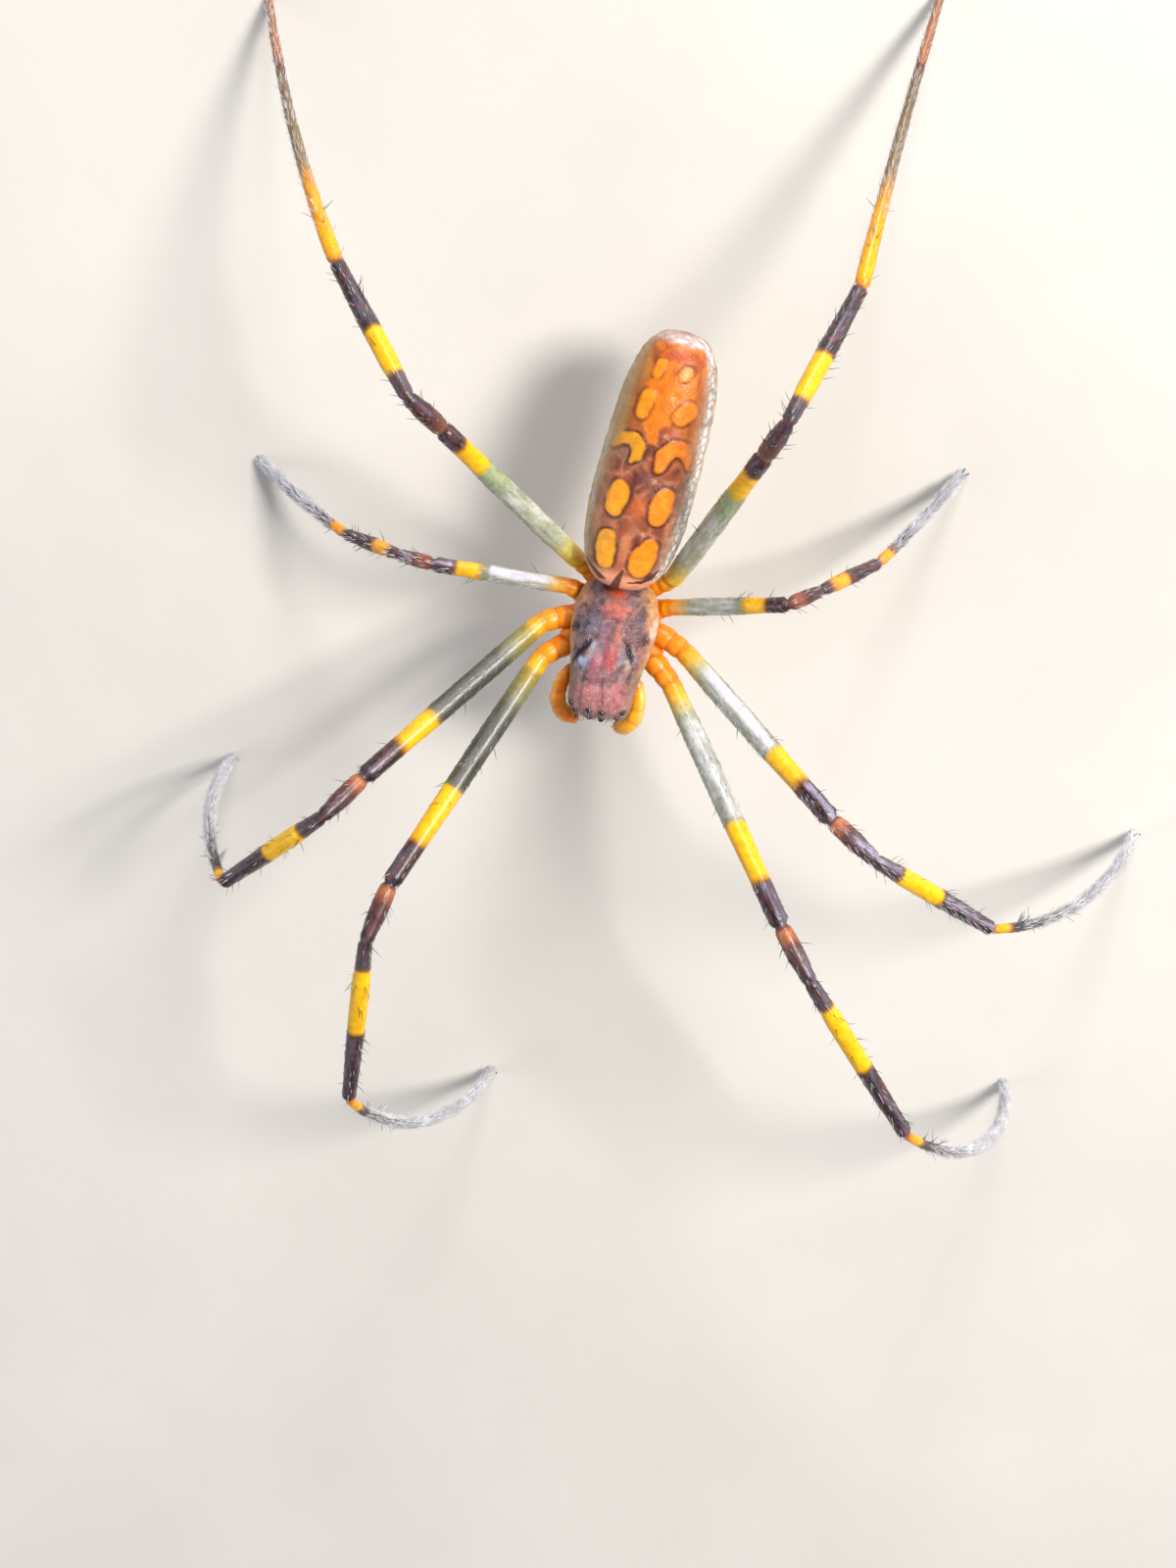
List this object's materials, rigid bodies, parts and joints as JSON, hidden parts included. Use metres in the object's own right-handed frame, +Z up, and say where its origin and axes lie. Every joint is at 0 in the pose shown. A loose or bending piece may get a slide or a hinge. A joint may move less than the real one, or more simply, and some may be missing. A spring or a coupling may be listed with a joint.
{
  "type": "golden silk orb weaver",
  "caption": "Life-size still model of a female golden silk orb weaver standing on long banded legs, with a long spotted abdomen.",
  "frame": {"origin": "on the floor, in the middle of the box round the whole animal", "axes": "+Z up, the head towards -Y, the spider's left side towards +X"},
  "size_m": [0.049, 0.062, 0.017],
  "materials": {
    "carapace": "mauve-brown shell under a thin silvery down, with a coral stripe",
    "underside": "dark brown cuticle of the chest plate, mouthparts and waist",
    "abdomen": "soft red-brown skin with paired orange-yellow spots and a cream rim",
    "spinnerets": "brown cones",
    "jaws": "dark polished chitin",
    "eyes": "glossy dark lens",
    "palps": "orange-yellow cuticle",
    "leg_roots": "bright orange cuticle",
    "legs": "satin cuticle banded grey-green, yellow and brown-black, with fine hair"
  },
  "bodies": {
    "root": {"abdomen": "abdomen", "carapace": "carapace", "chelicera_left": "jaws", "chelicera_right": "jaws", "eye_front_lateral_left": "eyes", "eye_front_lateral_right": "eyes", "eye_front_median_left": "eyes", "eye_front_median_right": "eyes", "eye_rear_lateral_left": "eyes", "eye_rear_lateral_right": "eyes", "eye_rear_median_left": "eyes", "eye_rear_median_right": "eyes", "fang_left": "jaws", "fang_right": "jaws", "leg_left_1_coxa": "leg_roots", "leg_left_1_femur": "legs", "leg_left_1_foot": "legs", "leg_left_1_patella": "legs", "leg_left_1_tibia": "legs", "leg_left_2_coxa": "leg_roots", "leg_left_2_femur": "legs", "leg_left_2_foot": "legs", "leg_left_2_patella": "legs", "leg_left_2_tibia": "legs", "leg_left_3_coxa": "leg_roots", "leg_left_3_femur": "legs", "leg_left_3_foot": "legs", "leg_left_3_patella": "legs", "leg_left_3_tibia": "legs", "leg_left_4_coxa": "leg_roots", "leg_left_4_femur": "legs", "leg_left_4_foot": "legs", "leg_left_4_patella": "legs", "leg_left_4_tibia": "legs", "leg_right_1_coxa": "leg_roots", "leg_right_1_femur": "legs", "leg_right_1_foot": "legs", "leg_right_1_patella": "legs", "leg_right_1_tibia": "legs", "leg_right_2_coxa": "leg_roots", "leg_right_2_femur": "legs", "leg_right_2_foot": "legs", "leg_right_2_patella": "legs", "leg_right_2_tibia": "legs", "leg_right_3_coxa": "leg_roots", "leg_right_3_femur": "legs", "leg_right_3_foot": "legs", "leg_right_3_patella": "legs", "leg_right_3_tibia": "legs", "leg_right_4_coxa": "leg_roots", "leg_right_4_femur": "legs", "leg_right_4_foot": "legs", "leg_right_4_patella": "legs", "leg_right_4_tibia": "legs", "mouthparts": "underside", "palp_left": "palps", "palp_right": "palps", "pedicel": "underside", "spinnerets": "spinnerets", "sternum": "underside"}
  },
  "joints": []
}
